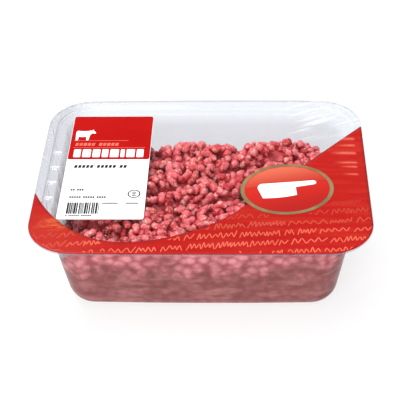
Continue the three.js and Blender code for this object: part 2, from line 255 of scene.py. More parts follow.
def ring(inset):
    """The outline at an inset from the flange's edge, as an anticlockwise list of points."""
    x0, y0 = half_x - inset, half_y - inset
    radius = corner_radius(inset)
    along_side = np.linspace(-1, 1, side_steps + 1)[1:-1] * (y0 - radius)
    along_front = np.linspace(1, -1, front_steps + 1)[1:-1] * (x0 - radius)
    turn = np.linspace(0, math.pi / 2, corner_steps + 1)
    arc = np.column_stack([np.cos(turn), np.sin(turn)]) * radius
    half = np.vstack([
        np.column_stack([np.full_like(along_side, x0), along_side]),
        arc + [x0 - radius, y0 - radius],
        np.column_stack([along_front, np.full_like(along_front, y0)]),
        arc[::-1] * [-1, 1] + [radius - x0, y0 - radius],
    ])
    outline = np.vstack([half, -half])
    outline[:, 1] *= 1 + bow / y0 * np.maximum(0, 1 - (outline[:, 0] / x0) ** 2)
    return outline


def depth_inside(points, inset):
    """How far points lie inside the outline at an inset, and the way out to it."""
    x0, y0 = half_x - inset, half_y - inset
    y0 = y0 + bow * np.maximum(0, 1 - (points[:, 0] / x0) ** 2)
    radius = corner_radius(inset)
    past = np.abs(points[:, :2]) - np.column_stack(np.broadcast_arrays(x0 - radius, y0 - radius))
    outer = np.maximum(past, 0)
    reach = np.linalg.norm(outer, axis=1)
    straight = reach <= tiny
    way = outer / np.maximum(reach, tiny)[:, None]
    way[straight] = np.where(past[straight, :1] > past[straight, 1:], [[1.0, 0.0]], [[0.0, 1.0]])
    distance = radius - reach - np.minimum(past.max(axis=1), 0)
    return distance, way * np.sign(points[:, :2])


print("points in a ring:", len(ring(0.0)))

# %% [markdown]
# ## The tray's section
# In section the sheet runs flat over the flange, steps down to a narrow ledge, turns down the
# leaning wall and sweeps into the base. A list of corners with radii describes it, and each corner
# becomes an arc, as drawn sheet has no sharp bends.

# %% The section as corners with radii
def rounded(corners, steps=6):
    """A line through corners (across, up, radius) with an arc at each inner one."""
    line = [corners[0][:2]]
    for before, here, after in zip(corners, corners[1:], corners[2:]):
        a, b, c = (np.array(p[:2], float) for p in (before, here, after))
        to_a, to_c = (a - b) / np.linalg.norm(a - b), (c - b) / np.linalg.norm(c - b)
        half = math.acos(np.clip(to_a @ to_c, -1, 1)) / 2
        setback = here[2] / math.tan(half)
        centre = b + (to_a + to_c) / np.linalg.norm(to_a + to_c) * here[2] / math.sin(half)
        start, end = b + to_a * setback - centre, b + to_c * setback - centre
        for t in np.linspace(0, 1, steps):
            swing = start * (1 - t) + end * t
            line.append(tuple(centre + swing / np.linalg.norm(swing) * here[2]))
    line.append(corners[-1][:2])
    return np.array(line)


def divided(line, length):
    """The same line with points added where it runs straight for longer than a length."""
    points = [line[0]]
    for start, step in zip(line, np.diff(line, axis=0)):
        parts = max(1, int(np.linalg.norm(step) / length))
        points += [start + step * (k + 1) / parts for k in range(parts)]
    return np.array(points)


drawn_z = 58
section = rounded([
    # inset, height, radius
    (0, drawn_z, 0), (5.0, drawn_z, 0.7), (6.1, 55.6, 0.9), (10.9, 55.2, 1.3), (12.0, 51, 2.0),
    (13.9, 38, 20), (18.9, 0.6, 8.7), (34, 0.6, 0),
]) * mm
section[:, 1] += flange_z - drawn_z * mm
section = divided(section, 3 * mm)
print("points in the section:", len(section))

# %% [markdown]
# ## The tray itself
# The two faces of the sheet are the section and the same line moved by the sheet's thickness. On
# the short sides small ribs cross the ledge and run down the wall, so that stacked empty trays
# come apart. They lift the sheet along its normal and fade out half way down.

# %% The clear shell
rib_count, rib_pitch = 4, 14
rib_centres = (np.arange(rib_count) - (rib_count - 1) / 2) * rib_pitch * mm
rib_half_width = 2.3 * mm
rib_reach = 1.1 * mm


def section_normals(line):
    """The way inwards and up from the sheet at each point of a section."""
    way = np.gradient(line, axis=0)
    normal = np.column_stack([-way[:, 1], way[:, 0]])
    return normal / np.linalg.norm(normal, axis=1)[:, None]


def rib_strength(inset, z):
    """How much of a rib's full height the sheet has at a level of the section."""
    on_ledge = smooth_step(5.2 * mm, 7.5 * mm, inset)
    return on_ledge * (1 - smooth_step(14 * mm, 34 * mm, flange_z - z))


def shell_face(line):
    """Rings of points for one face of the sheet."""
    normals = section_normals(section)
    rings = []
    for (inset, z), (n_in, n_up), (base_inset, base_z) in zip(line, normals, section):
        outline = ring(inset)
        centre = np.abs(outline[:, 1:] - rib_centres).min(axis=1)
        on_side = np.abs(outline[:, 0]) > half_x - inset - 0.5 * mm
        push = rib_reach * rib_strength(base_inset, base_z)
        push = push * smooth_step(rib_half_width, 0, centre) * on_side
        x = outline[:, 0] - np.sign(outline[:, 0]) * push * abs(n_in)
        rings.append(np.column_stack([x, outline[:, 1], z + push * max(n_up, 0)]))
    return rings


def loft(rings):
    """Faces between rings that have the same number of points, closed flat at both ends."""
    count = len(rings[0])
    level = np.arange(len(rings) - 1)[:, None] * count
    a, b = level + np.arange(count), level + np.roll(np.arange(count), -1)
    faces = np.stack([a, b, b + count, a + count], axis=-1).reshape(-1, 4).tolist()
    faces.append(list(range(count - 1, -1, -1)))
    faces.append(list(range((len(rings) - 1) * count, len(rings) * count)))
    return np.vstack(rings), faces


inner_rings = shell_face(section)
outer_rings = shell_face(section - section_normals(section) * sheet)
tray_points, tray_faces = loft(outer_rings[::-1] + inner_rings)
print("rings in the shell:", len(inner_rings) + len(outer_rings))

# %% [markdown]
# ## Clear plastic
# Clear sheet lets most light straight through, mirrors a little of the room, more so at a slant,
# and scatters some where it was stretched or touches wet meat. Real refraction would need far
# more samples, and a sheet this thin bends nothing, so transparent, cloudy and mirror are mixed.

# %% The finish of clear sheet
def clear_sheet(name, tint, cloud, cloud_tint, ripple, mirror_low, gloss=0.06):
    """Clear plastic. Its cloud from 0 to 1, the cloud's tint and the ripple are functions of it."""
    finish = Finish(name)
    milky = finish.principled(Base_Color=cloud_tint(finish), Roughness=0.7, Specular_IOR_Level=0.0)
    surface = finish.bump(ripple(finish), 0.0006, 0.5)
    mirror = finish.principled(
        Base_Color=(0.95, 0.96, 1, 1), Metallic=1.0, Roughness=gloss, Normal=surface)
    facing = finish.node("LayerWeight", None, {"Blend": 0.5, "Normal": surface}, out=1)
    slant = mirror_low * (1 + 25 * facing ** 5)
    body = finish.mix(finish.clear(tint), milky, cloud(finish))
    return finish.show(finish.mix(body, mirror, slant))


def streaks(finish, angle, fine):
    """Thin drawn lines that run one way across the sheet."""
    sockets = {"Vector": finish.where(), "Angle": angle}
    turned = finish.node("VectorRotate", {"rotation_type": "Z_AXIS"}, sockets)
    return finish.noise(1.0, 2, 0.5, at=turned * (fine * 0.05, fine, fine * 0.3))


def smeared(finish):
    """1 where wet mince touches the sheet, 0 where the sheet stands clear of it."""
    return finish.stored("smear")


def step_highlight(finish):
    """1 on the short step between flange and ledge, where a painted white highlight stands for the light
    that the step's bend catches.
    """
    height = finish.axis(2)
    return height.step(55.8 * mm, 56.3 * mm) * (1 - height.step(56.7 * mm, 57.2 * mm))


def left_end(finish):
    """1 at the pack's left end, which leans away from the light and shows more cloud."""
    return 1 - finish.axis(0).step(-88 * mm, -70 * mm)


def tray_cloud(finish):
    """More cloud on the drawn wall than on the flange, and most where mince smears the sheet."""
    height = finish.axis(2)
    drawn = 1 - height.step(46 * mm, 57 * mm)
    drift = finish.noise(60, 3, 0.6, stretch=(1, 1, 0.5))
    scratch = streaks(finish, 1.35, 700).step(0.6, 0.72)
    low = 1 - height.step(6 * mm, 44 * mm)
    clean = 0.02 + drawn * (0.10 + 0.06 * drift) + left_end(finish) * (0.24 + 0.18 * scratch)
    # Painted highlight along the step, stronger at the left end.
    clean = clean + step_highlight(finish) * (0.2 + 0.35 * left_end(finish))
    return clean + smeared(finish) * (0.5 + 0.26 * drift + 0.14 * low)


def tray_cloud_tint(finish):
    """Cool grey when clean, with the step's painted highlight in white; behind mince, pink near the rim with
    painted highlights on its lumps, and browner and darker towards the base, partly smear and partly painted
    shade.
    """
    height = finish.axis(2)
    lumps = finish.noise(110, 3, 0.55)
    smudges = finish.noise(190, 3, 0.5, stretch=(0.3, 0.3, 1))
    wander = finish.node("TexNoise", None, {"Scale": 200.0}, out=1) * (0.003, 0.003, 0.003)
    sockets = {"Vector": finish.where() + wander, "Scale": 200.0, "Smoothness": 0.3}
    cells = finish.node("TexVoronoi", {"feature": "SMOOTH_F1"}, sockets)
    # Painted highlights on the lumps of mince behind the sheet, stronger towards the rim.
    lump_highlights = (1 - cells.step(0.22, 0.85)) * lumps.step(0.2, 0.62)
    level = (height + 0.04 * (lumps - 0.5)).step(22 * mm, 52 * mm)
    # Darker and browner towards the base: partly the smear of pressed mince, partly painted shade.
    smear_and_painted_light = finish.blend(colour(130, 71, 70), colour(174, 80, 89), level)
    smear_and_painted_light = finish.blend(smear_and_painted_light, colour(246, 162, 166), lump_highlights * (0.16 + 0.76 * level))
    smear_and_painted_light = finish.blend(smear_and_painted_light, colour(196, 134, 130), smudges.step(0.46, 0.72) * (0.45 - 0.4 * level))
    clean = finish.blend(colour(172, 176, 187), colour(168, 162, 170), left_end(finish))
    # The step's painted highlight in white.
    clean = finish.blend(clean, colour(255, 255, 255), step_highlight(finish))
    return finish.blend(clean, smear_and_painted_light, smeared(finish) * 4)


def tray_ripple(finish):
    return 0.25 * finish.noise(90, 2, 0.5)


tray_finish = clear_sheet(
    "clear tray plastic", (0.915, 0.928, 0.945, 1), tray_cloud, tray_cloud_tint, tray_ripple, 0.02)

# %% [markdown]
# ## Places on the wall
# The mince lies against the wall, so it needs the inner face of the sheet as a map: a distance
# along the outline and a distance down the section lead to a point and to the way inwards.

# %% Maps of the inner wall
inner_z = section[:, 1][::-1]
inner_inset = section[:, 0][::-1]


def wall_inset(z):
    """The inner face's inset at a height, from the foot's curve up to the ledge."""
    return np.interp(z, inner_z, inner_inset)


def lengths_along(line):
    """The length of a line from its start to each of its points."""
    return np.concatenate([[0], np.cumsum(np.linalg.norm(np.diff(line, axis=0), axis=1))])


# One ring for each millimetre of inset; distances round the pack are measured on the wall's own.
ring_table = np.array([ring(k * mm) for k in range(66)])
ring_points = ring_table.shape[1]
wall_ring = ring_table[14]
ring_length = lengths_along(np.vstack([wall_ring, wall_ring[:1]]))


def on_ring(along, inset):
    """Points at distances along the outline, at given insets."""
    place = np.interp(np.mod(along, ring_length[-1]), ring_length, np.arange(ring_points + 1))
    first = np.floor(place).astype(int)
    part = (place - first)[..., None]
    level = np.clip(inset / mm, 0, len(ring_table) - 1.01)
    low = np.floor(level).astype(int)
    rise = (level - low)[..., None]
    a, b = first % ring_points, (first + 1) % ring_points
    under = ring_table[low, a] * (1 - part) + ring_table[low, b] * part
    over = ring_table[low + 1, a] * (1 - part) + ring_table[low + 1, b] * part
    return under * (1 - rise) + over * rise


down = lengths_along(section)
section_in = section_normals(section)


def on_wall(along, deep, inside):
    """Points on the inner face, moved inwards: along the outline, down the section."""
    inset, z = (np.interp(deep, down, section[:, k]) + inside * np.interp(deep, down, section_in[:, k])
                for k in (0, 1))
    return np.concatenate([on_ring(along, inset), z[..., None]], axis=-1)


print(f"round the wall {ring_length[-1] / mm:.0f} mm, down the section {down[-1] / mm:.0f} mm")

# %% [markdown]
# ## The heap's top
# The mince was dropped in folds: it stands high along the front, falls away behind a crest, and
# furrows run through it, most of them from left to right. This height is only the shape that the
# strands pile up to; the real surface is the strands themselves.

# %% The height that the strands reach
front_depth, crest_depth = 3.2, 8.0
rear_fall, left_fall, right_fall, shoulder_fall = 25, 27, 15, 7
notch_x, notch_width, notch_depth = 20, 5, 6.5
furrows = [
    # middle, slope, half width, depth, from, to
    (2, 0.56, 3.4, 5.5, -34, 44),
    (-22, 0.2, 3.2, 5.0, -46, 34),
    (26, -0.12, 3.0, 2.6, -30, 18),
    (-66, -0.38, 4.0, 5.0, -66, -42),
]


def furrow_depth(x, y):
    """How deep the furrows are at a place in millimetres."""
    depth = 0
    for middle, slope, width, deep, start, end in furrows:
        across = (y - middle - slope * x) / width
        along = smooth_step(start - 8, start + 4, x) * (1 - smooth_step(end - 4, end + 8, x))
        depth = depth + deep * along * np.exp(-across ** 2)
    return depth


def heap_height(points):
    """The heap's top over points: under the flange by the front's depth, and by all its falls."""
    x, y = points[..., 0] / mm, points[..., 1] / mm
    depth = front_depth + (crest_depth - front_depth) * smooth_step(-22, 24, y)
    depth += rear_fall * smooth_step(34, 60, y) ** 1.2
    depth += left_fall * smooth_step(60, 84, -x)
    depth += right_fall * smooth_step(62, 84, x)
    depth += shoulder_fall * smooth_step(8, 34, -x) * smooth_step(12, 30, y)
    depth += notch_depth * np.exp(-((x - notch_x) / notch_width) ** 2) * smooth_step(22, 32, y)
    depth += furrow_depth(x, y)
    depth += 0.9 * np.sin(x / 6.1 + 0.7) * np.sin(y / 5.3 + x / 19) + 0.7 * np.sin(x / 11 - y / 7.7)
    return flange_z - depth * mm


# The shell is smeared where it stands below the heap's top, and mostly on its outer face.
tray_piece = piece("tray_shell", tray_points, tray_faces, tray_finish, ["tray"])
nearer = tray_points[:, :2] * (1 - 2.5 * mm / np.linalg.norm(tray_points[:, :2], axis=1))[:, None]
over = heap_height(nearer) - tray_points[:, 2]
in_well = depth_inside(tray_points, 11.2 * mm)[0] > 0
outer_face = np.arange(len(tray_points)) < len(tray_points) / 2
smear = smooth_step(-2 * mm, 3 * mm, over) * in_well * np.where(outer_face, 1.0, 0.25)
store(tray_piece, "smear", smear)
print(f"heap at the middle: {heap_height(np.zeros(2)) / mm:.1f} mm")

# %% [markdown]
# ## Strands of mince
# A grinder presses meat through a plate of round holes, so mince is short knobbly strands of one
# thickness, bent and torn at the ends. Each strand here is a bent tube with a lumpy radius and
# rounded ends. All strands are built at once as arrays, because there are thousands.

# %% Tubes from centre lines
ring_sides = 8
body_rings = 5
strand_radius = 1.8 * mm
ring_marks = np.array([0.10, 0.45, 1.0])


def ring_places(lengths, radii):
    """How far along each strand its rings stand: close together at the rounded ends."""
    near = ring_marks[None, :] * radii[:, None]
    middle = np.linspace(0, 1, body_rings + 2)[1:-1]
    inner = near[:, -1:] + (lengths[:, None] - 2 * near[:, -1:]) * middle[None, :]
    return np.hstack([near, inner, lengths[:, None] - near[:, ::-1]])


def tubes(lines, lengths, radii, rng):
    """Points and faces of tubes: lines holds a centre point for each ring of each strand."""
    count, rings = lines.shape[:2]
    along = ring_places(lengths, radii)
    from_end = np.minimum(along, lengths[:, None] - along) / radii[:, None]
    swell = np.sqrt(np.clip(1 - (1 - np.clip(from_end, 0, 1)) ** 2, 0.02, 1))
    tangent = np.gradient(lines, axis=1)
    tangent /= np.linalg.norm(tangent, axis=2)[..., None]
    upward = np.where(np.abs(tangent[..., 2:]) > 0.9, [[[1.0, 0, 0]]], [[[0, 0, 1.0]]])
    side = np.cross(tangent, upward)
    side /= np.linalg.norm(side, axis=2)[..., None]
    over = np.cross(side, tangent)
    phase, knobbly = rng.uniform(0, 6.3, (count, 1)), rng.uniform(0.08, 0.27, (count, 1))
    beads = np.sin(along / (0.62 * mm) + phase) * knobbly
    lump = np.clip(1 + beads + 0.08 * rng.standard_normal((count, rings)), 0.7, 1.32)
    radius = (radii[:, None] * swell * lump)[..., None]
    angle = (np.arange(ring_sides) * 2 * math.pi / ring_sides)[None, None, :, None]
    dent = 1 + 0.07 * rng.standard_normal((count, rings, ring_sides))
    out = (radius * dent)[..., None]
    points = lines[:, :, None] + out * (np.cos(angle) * side[:, :, None] + np.sin(angle) * over[:, :, None])
    first_end = lines[:, 0] - tangent[:, 0] * along[:, :1]
    last_end = lines[:, -1] + tangent[:, -1] * along[:, :1]
    poles = np.stack([first_end, last_end], axis=1)
    points = np.concatenate([points.reshape(count, -1, 3), poles], axis=1)
    here, after = np.arange(ring_sides), np.roll(np.arange(ring_sides), -1)
    level = np.arange(rings - 1)[:, None] * ring_sides
    a, b = level + here, level + after
    walls = np.stack([a, b, b + ring_sides, a + ring_sides], axis=-1).reshape(-1, 4)
    pole, last = np.full(ring_sides, rings * ring_sides), (rings - 1) * ring_sides
    start_cap = np.stack([pole, after, here], axis=-1)
    end_cap = np.stack([pole + 1, last + here, last + after], axis=-1)
    shift = (np.arange(count) * points.shape[1])[:, None, None]
    quads = (walls[None] + shift).reshape(-1, 4)
    caps = (np.vstack([start_cap, end_cap])[None] + shift).reshape(-1, 3)
    return points, quads.tolist() + caps.tolist()


rings_each = 2 * len(ring_marks) + body_rings
print("triangles in a strand:", 2 * ring_sides * (rings_each - 1) + 2 * ring_sides)

# %% [markdown]
# ## Piling the strands
# Each strand is dropped where the pile is furthest below the heap's shape. It settles on what is
# under it, like a stiff noodle, and the grid of heights then rises beneath it. Neighbours from
# the same turn of the grinder lie side by side, so strands fall in small bundles.

# %% The pile seen from above
cell = 0.6 * mm
grid_x = np.arange(-84 * mm, 84 * mm, cell)
grid_y = np.arange(-61 * mm, 61 * mm, cell)
plan_grid = np.stack(np.meshgrid(grid_x, grid_y, indexing="ij"), axis=-1)
flat_grid = plan_grid.reshape(-1, 2)
target = heap_height(plan_grid)


def room_inside(points, z):
    """Horizontal distance from points to the inner wall at their heights, and the way out."""
    return depth_inside(points, wall_inset(z))


room = room_inside(flat_grid, np.minimum(target.ravel(), 54 * mm))[0].reshape(target.shape)
open_cells = room > strand_radius * 0.9
pile = np.where(open_cells, target - 6 * mm, 1.0)
disc_cells = 3
across_disc = range(-disc_cells, disc_cells + 1)
disc = np.array([(i, j) for i in across_disc for j in across_disc if i * i + j * j < disc_cells ** 2 + 0.5])
disc_rise = np.sqrt(np.maximum(0, strand_radius ** 2 - ((disc * cell) ** 2).sum(axis=1)))
print("cells in the grid:", target.size, "of them over the mince:", int(open_cells.sum()))

# %% Dropping the strands
rng = np.random.default_rng(7)
few_spots = 40


def lay(start, heading, bend, length, radius):
    """A strand's centre points in plan: an arc with a wriggle."""
    along = ring_places(np.array([length]), np.array([radius]))[0]
    turn = heading + bend * (along - length / 2) + 0.5 * np.sin(along / (1.3 * mm) + 40 * heading)
    step = np.diff(along, prepend=0)
    line = np.cumsum(np.column_stack([np.cos(turn), np.sin(turn)]) * step[:, None], axis=0)
    return start + line - line[len(line) // 2]


loose = {"bend": 130, "most": 4, "length": (5.2, 11.5), "thickness": (1.0, 1.3), "apart": 1.7,
         "stray": 0.5 * mm, "turn": 0.12}
flattened = {"bend": 120, "most": 3, "length": (5, 9), "thickness": (1.1, 1.5), "apart": 1.9,
             "stray": 0, "turn": 0.1}


def bundle(draw, start, heading, kind):
    """Strands side by side from one turn of the grinder: centre line in plan, length and radius."""
    bend = draw.normal(0, kind["bend"])
    across = np.array([-math.sin(heading), math.cos(heading)])
    for member in range(draw.integers(1, kind["most"] + 1)):
        length = draw.uniform(*kind["length"]) * mm
        radius = strand_radius * draw.uniform(*kind["thickness"])
        place = start + across * member * kind["apart"] * radius
        if kind["stray"]:
            place = place + draw.normal(0, kind["stray"], 2)
        yield lay(place, heading + draw.normal(0, kind["turn"]), bend, length, radius), length, radius


def to_cells(distances, size, count, margin=0):
    """The cells of a grid that distances from its start fall in, kept a margin off its ends."""
    return np.clip(np.round(distances / size).astype(int), margin, count - 1 - margin)


def pile_cells(points, margin=0):
    """The pile's cells that points lie over."""
    return (to_cells(points[:, 0] - grid_x[0], cell, len(grid_x), margin),
            to_cells(points[:, 1] - grid_y[0], cell, len(grid_y), margin))


def settle(line):
    """Cells and heights of a centre line that rests on the pile and bends only gently."""
    i, j = pile_cells(line, disc_cells)
    under = np.max([pile[i + a, j + b] for a, b in ((0, 0), (2, 0), (-2, 0), (0, 2), (0, -2))], axis=0)
    t = np.linspace(-1, 1, len(line))
    fit = np.polyval(np.polyfit(t, under, 2), t)
    z = fit + max(0, float((under - fit).max()) - 0.6 * strand_radius) + 0.62 * strand_radius
    return i, j, z


def drop_strands(limit, wanted):
    """Drops bundles until the pile is nearly up to the heap's shape."""
    strands = []
    tried = np.zeros(target.size, bool)
    while len(strands) < limit:
        gap = np.where(open_cells, target - pile, 0).ravel()
        low = np.flatnonzero((gap > wanted) & ~tried)
        if len(low) < few_spots:
            break
        for spot in rng.choice(low, min(len(low) // 30 + 1, 60), replace=False):
            tried[spot] = True
            if target.flat[spot] - pile.flat[spot] < wanted:
                continue
            # Headings drift over the heap, as they do in the folds of dropped mince.
            start = flat_grid[spot]
            heading = 1.2 * math.sin(start[0] / 0.021 + 2) + 1.4 * math.cos(start[1] / 0.017)
            for line, length, radius in bundle(rng, start, heading + rng.normal(0, 0.55), loose):
                i, j, z = settle(line)
                if not open_cells[i, j].all() or (z > target[i, j] + 1.5 * mm).any():
                    continue
                strands.append((np.column_stack([line, z]), length, radius))
                for a, b, top in zip(i, j, z):
                    covered = a + disc[:, 0], b + disc[:, 1]
                    pile[covered] = np.maximum(pile[covered], top + disc_rise)
    return [np.array(part) for part in zip(*strands)]


top_strands = drop_strands(2600, 1.1 * mm)
gap_left = (target - pile)[open_cells]
print(f"strands on top: {len(top_strands[0])}, {gap_left.mean() / mm:.2f} mm under the heap's shape")

# %% [markdown]
# ## Strands against the wall and the base
# Behind clear plastic the outermost strands are pressed flat. They are laid on the wall's map
# until it is covered, each with its centre less than one radius from the sheet, and whatever
# would pass through is pushed back to the sheet's inner face.

# %% Covering the wall and the base
def cover(length_a, length_b, wanted, allowed, draw):
    """Centre lines on a map of two distances, added until enough of the map is covered."""
    size = 0.8 * mm
    shape = (int(length_a / size), int(length_b / size))
    marks_a, marks_b = (np.arange(count) * size for count in shape)
    covered = ~allowed(*np.meshgrid(marks_a, marks_b, indexing="ij"))
    around = np.array([(i, j) for i in range(-2, 3) for j in range(-2, 3) if i * i + j * j < 5])
    strands = []
    while covered.mean() < wanted:
        bare = np.argwhere(~covered)
        for spot in bare[draw.choice(len(bare), max(1, len(bare) // 120), replace=False)]:
            if covered[tuple(spot)]:
                continue
            heading = draw.normal(0, 0.9) + (math.pi / 2 if draw.random() < 0.3 else 0)
            for strand in bundle(draw, spot * size, heading, flattened):
                strands.append(strand)
                i, j = (to_cells(strand[0][:, k], size, shape[k])[:, None] + around[:, k] for k in (0, 1))
                covered[np.clip(i, 0, shape[0] - 1), np.clip(j, 0, shape[1] - 1)] = True
    return [np.array(part) for part in zip(*strands)]


wall_start = float(np.interp(-(55 * mm), -section[:, 1], down))
wall_reach = float(np.interp(30 * mm, section[:, 0], down)) - wall_start


def mince_on_wall(along, deep):
    """True where the heap stands higher than a place on the wall."""
    place = on_wall(along, deep + wall_start, 2.5 * mm)
    return place[..., 2] < heap_height(place) - 0.5 * mm


draw = np.random.default_rng(19)
wanted = 0.985
wall_lines, wall_lengths, wall_radii = cover(ring_length[-1], wall_reach, wanted, mince_on_wall, draw)
wall_depth = draw.uniform(0.45, 0.9, len(wall_lines)) * wall_radii
wall_centres = on_wall(wall_lines[..., 0], wall_lines[..., 1] + wall_start,
                       np.broadcast_to(wall_depth[:, None], wall_lines.shape[:2]))

base_x, base_y = half_x - 27 * mm, half_y - 27 * mm
base_lines, base_lengths, base_radii = cover(
    2 * base_x, 2 * base_y, wanted, lambda a, b: np.ones(a.shape, bool), draw)
base_depth = draw.uniform(0.4, 0.85, len(base_lines)) * base_radii
base_plan = base_lines - [base_x, base_y]
base_z = np.broadcast_to((sheet + base_depth)[:, None, None], base_plan.shape[:2] + (1,))
base_centres = np.concatenate([base_plan, base_z], axis=-1)
print(f"strands on the wall: {len(wall_lines)}, on the base: {len(base_lines)}")

# %% [markdown]
# ## From strands to meshes
# Three numbers go with every point for the finish: the tone of its strand, lean or fat, how deep
# it lies in a crevice and how deep in a furrow. The finish paints both as shade, darker and redder.
# Points that would leave the tray are brought back; each strand enters the sheet by a hair, so that
# no air gap shows behind the plastic.

# %% Strand meshes
layer_depth = 2.2 * strand_radius


def keep_inside(points, press):
    """Pushes points off the wall and the base; press is how far each may enter the sheet."""
    points[:, 2] = np.maximum(points[:, 2], sheet - press)
    points[:, 2] = np.minimum(points[:, 2], flange_z - 0.5 * mm)
    distance, out = room_inside(points, points[:, 2])
    push = np.maximum(0, -press - distance)
    points[:, :2] -= out * push[:, None]
    return points


def crevice_shade(points):
    """How much painted shade a point gets: 0 on the outside of the heap, 1 well below it or between strands.
    """
    return np.clip((pile[pile_cells(points)] - points[:, 2]) / layer_depth, 0, 1)


def strand_piece(name, strands, pressed, seed):
    """One mesh of strands, which are their centre lines, lengths and radii."""
    draw = np.random.default_rng(seed)
    points, faces = tubes(*strands, draw)
    count, each = points.shape[:2]
    press = np.repeat(draw.uniform(0.02, 0.12, count) * mm, each)
    flat = keep_inside(points.reshape(-1, 3), press if pressed else np.full(count * each, 0.02 * mm))
    made = piece(name, flat, faces, pressed_mince if pressed else loose_mince, ["mince"])
    tone = np.repeat(np.clip(draw.normal(0.5, 0.22 + 0.13 * pressed, count), 0, 1), each)
    # Painted shade: pressed strands darken the further in from the sheet they lie, loose ones below the
    # pile's top and in the furrows.
    if pressed:
        inward = np.minimum(room_inside(flat, flat[:, 2])[0], flat[:, 2] - sheet)
        crevice_shade_amount = 0.35 * np.clip(inward / layer_depth, 0, 1)
        furrow_shade = np.zeros(len(flat))
    else:
        crevice_shade_amount = crevice_shade(flat)
        furrow_shade = np.clip(furrow_depth(flat[:, 0] / mm, flat[:, 1] / mm) / 5, 0, 1)
    for kind, values in (("tone", tone), ("crevice_shade", crevice_shade_amount), ("furrow_shade", furrow_shade)):
        store(made, kind, values)


# %% [markdown]
# ## The look of raw mince
# Lean meat is deep rose, fat is pale pink, and the two are worked through each other as fine
# smears. Light sinks a little way in, so subsurface softens it, and the moist skin gives small
# sharp highlights. Crevices and furrows are painted darker and redder than the tops, as shade.

# %% The finish of mince
def mince_finish(name, pressed):
    """Raw mince, with painted shade in crevices and furrows; pressed gives the duller and browner look that
    it has behind plastic.
    """
    meat = Finish(name)
    tone, deep = meat.stored("tone"), meat.stored("crevice_shade")
    streak, fleck = meat.noise(260, 4, 0.6), meat.noise(1100, 3, 0.65)
    paler = (tone * 0.6 + streak * 0.9 - 0.25).step(0.12, 0.66)
    lean = meat.blend(colour(196, 22, 40), colour(240, 102, 112), paler)
    if pressed:
        height = meat.axis(2) + 0.035 * (tone - 0.5)
        # Darker and browner towards the base: partly smear, partly painted shade.
        dull = meat.blend(colour(146, 82, 82), colour(222, 120, 128), height.step(12 * mm, 50 * mm))
        lean = meat.blend(lean, dull, 0.75)
    else:
        # Painted shade in the furrows.
        lean = meat.blend(lean, colour(164, 12, 28), meat.stored("furrow_shade") * 0.75)
    fat = (fleck * 0.6 + streak * 0.45).step(0.53, 0.655) * 0.68
    bits = meat.noise(480, 2, 0.4).step(0.64, 0.7) * (0.2 if pressed else 0.55)
    fatty = meat.blend(lean, colour(255, 218, 198), fat)
    fatty = meat.blend(fatty, colour(255, 228, 206), bits)
    # Painted shade in crevices: darker and redder.
    shaded = meat.blend(fatty, colour(198, 14, 34), deep.step(0.2, 0.9) * 0.88)
    relief = meat.bump(meat.noise(2200, 3, 0.6) * 0.5 + fleck, 0.0009, 0.6)
    return meat.show(meat.principled(
        Base_Color=shaded, Roughness=0.33, Specular_IOR_Level=0.52, Normal=relief,
        Subsurface_Weight=0.0 if pressed else 0.35, Subsurface_Radius=(0.004, 0.0012, 0.0012),
        Subsurface_Scale=0.8))


loose_mince = mince_finish("raw mince", False)
pressed_mince = mince_finish("raw mince behind plastic", True)

from_left = np.argsort(top_strands[0][:, 0, 0])
half_top = len(from_left) // 2
strand_piece("mince_top_left", [part[from_left[:half_top]] for part in top_strands], False, 1)
strand_piece("mince_top_right", [part[from_left[half_top:]] for part in top_strands], False, 2)
wall_strands = (wall_centres, wall_lengths, wall_radii)
front = wall_centres[:, 0, 1] < 0
strand_piece("mince_wall_front", [part[front] for part in wall_strands], True, 3)
strand_piece("mince_wall_back", [part[~front] for part in wall_strands], True, 4)
strand_piece("mince_base", (base_centres, base_lengths, base_radii), True, 5)

# %% [markdown]
# ## The mince behind the strands
# Gaps between strands should show more mince, not the far wall. A plain closed body a little
# smaller than the heap stands for it, painted dark red as shade where it is seen at all.

# %% The core
levels = np.linspace(0, 1, 22)
core_foot, core_cover = 1.6 * mm, 5 * mm
turns = np.arange(0, ring_length[-1], 2.5 * mm)


def core_ring(level):
    """The core's side at a part of its height, which follows the heap's edge."""
    edge = on_wall(turns, np.full_like(turns, wall_start), 6 * mm)
    top = heap_height(edge) - core_cover
    z = core_foot + level * (top - core_foot)
    inset = wall_inset(z) + (0.3 + 0.8 * smooth_step(18 * mm, 46 * mm, z)) * mm
    return np.column_stack([on_ring(turns, inset), z])


core_rings = [core_ring(level) for level in levels]
rim = core_rings[-1]
for shrink in np.linspace(0.97, 0.02, 40):
    plan = rim[:, :2] * shrink
    height = heap_height(plan) - core_cover
    core_rings.append(np.column_stack([plan, height]))
core_points, core_faces = loft(core_rings)
core = piece("mince_core", core_points, core_faces, pressed_mince, ["mince"])
at_side = np.arange(len(core_points)) < len(levels) * len(turns)
store(core, "tone", np.full(len(core_points), 0.3))
# The core gets painted crevice shade, more on its top than on its sides.
store(core, "crevice_shade", np.where(at_side, 0.25, 0.7))

# %% [markdown]
# ## The lid film
# The film is welded to the flange and drawn tight, so it is nearly flat, a little higher inside
# the weld, with small creases that run in from the short ends and fan out of the corners.

